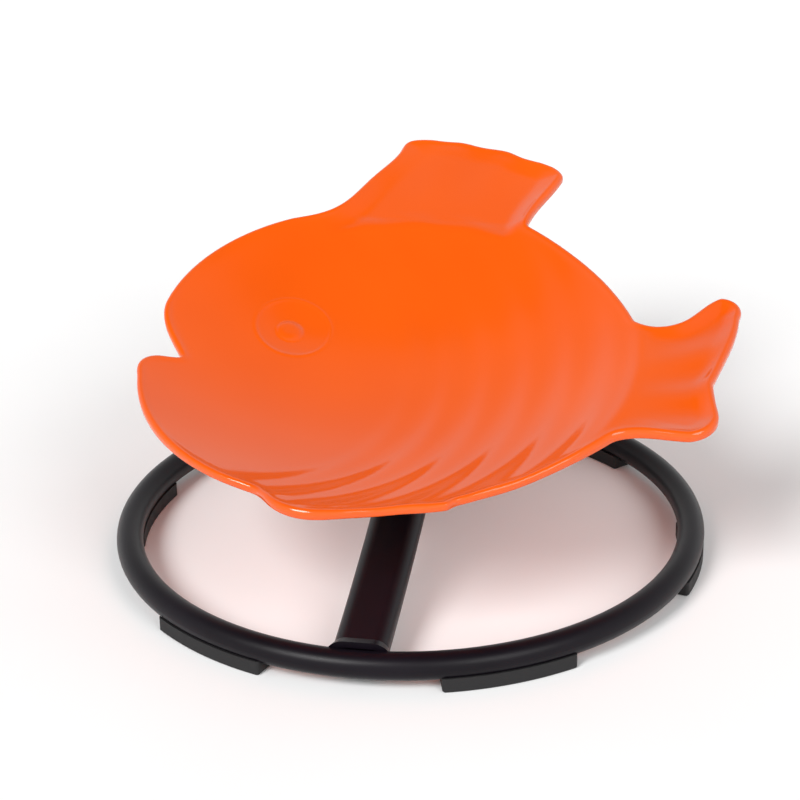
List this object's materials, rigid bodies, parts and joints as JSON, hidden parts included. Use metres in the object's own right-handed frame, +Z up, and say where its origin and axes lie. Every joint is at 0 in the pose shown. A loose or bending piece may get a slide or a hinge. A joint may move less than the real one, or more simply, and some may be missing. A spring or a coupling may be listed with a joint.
{
  "type": "spinning dish seat",
  "caption": "Low indoor merry go round for one small child: a fish-shaped dish that spins on a tilted axle over a round steel tube base with rubber feet.",
  "frame": {"origin": "centre of the base ring, on the floor plane under the six feet", "axes": "+Z up; the arch of the base lies along Y; the dish leans down towards -Y, its front; at rest the fish's mouth points to -X and its tail to +X"},
  "size_m": [0.5786, 0.5709, 0.3041],
  "materials": {
    "orange_plastic": "glossy moulded surface, faint ripple",
    "black_paint": "fine textured powder coat, satin",
    "black_rubber": "matte moulded rubber",
    "bearing_steel": "ground steel",
    "zinc_plated_steel": "zinc plated, satin",
    "brass_insert": "machined"
  },
  "bodies": {
    "base": {"base_ring": "black_paint", "ring_seam_weld": "black_paint", "arch": "black_paint", "front_arch_weld": "black_paint", "rear_arch_weld": "black_paint", "hub_post": "black_paint", "hub_post_weld": "black_paint", "axle": "bearing_steel", "shoulder_ring": "bearing_steel", "bearing_spacer": "bearing_steel", "lower_bearing_inner_race": "bearing_steel", "upper_bearing_inner_race": "bearing_steel", "axle_washer": "zinc_plated_steel", "axle_nut": "zinc_plated_steel", "front_left_foot": "black_rubber", "front_right_foot": "black_rubber", "right_foot": "black_rubber", "rear_right_foot": "black_rubber", "rear_left_foot": "black_rubber", "left_foot": "black_rubber", "foot_screws": "zinc_plated_steel"},
    "seat": {"bearing_housing": "black_paint", "snap_ring": "bearing_steel", "dust_seal": "black_rubber", "mounting_flange": "black_paint", "housing_weld": "black_paint", "lower_bearing_outer_race": "bearing_steel", "upper_bearing_outer_race": "bearing_steel", "lower_bearing_seals": "black_rubber", "upper_bearing_seals": "black_rubber", "seat_inserts": "brass_insert", "seat_washers": "zinc_plated_steel", "seat_screws": "zinc_plated_steel", "seat": "orange_plastic"},
    "lower_ball_set": {"lower_bearing_balls": "bearing_steel", "lower_bearing_cage": "bearing_steel"},
    "upper_ball_set": {"upper_bearing_balls": "bearing_steel", "upper_bearing_cage": "bearing_steel"}
  },
  "joints": [
    {"name": "seat_spin", "type": "hinge", "parent": "base", "child": "seat", "pos_m": [0, 0.00887, 0.0905], "axis": [0, -0.2504, 0.9681], "continuous": true},
    {"name": "lower_ball_set_spin", "type": "hinge", "parent": "base", "child": "lower_ball_set", "pos_m": [0, 0.00887, 0.0905], "axis": [0, -0.2504, 0.9681], "continuous": true},
    {"name": "upper_ball_set_spin", "type": "hinge", "parent": "base", "child": "upper_ball_set", "pos_m": [0, 0.00887, 0.0905], "axis": [0, -0.2504, 0.9681], "continuous": true}
  ],
  "couplings": [
    {"joint": "lower_ball_set_spin", "follows": "seat_spin", "ratio": 0.6185},
    {"joint": "upper_ball_set_spin", "follows": "seat_spin", "ratio": 0.6185}
  ]
}
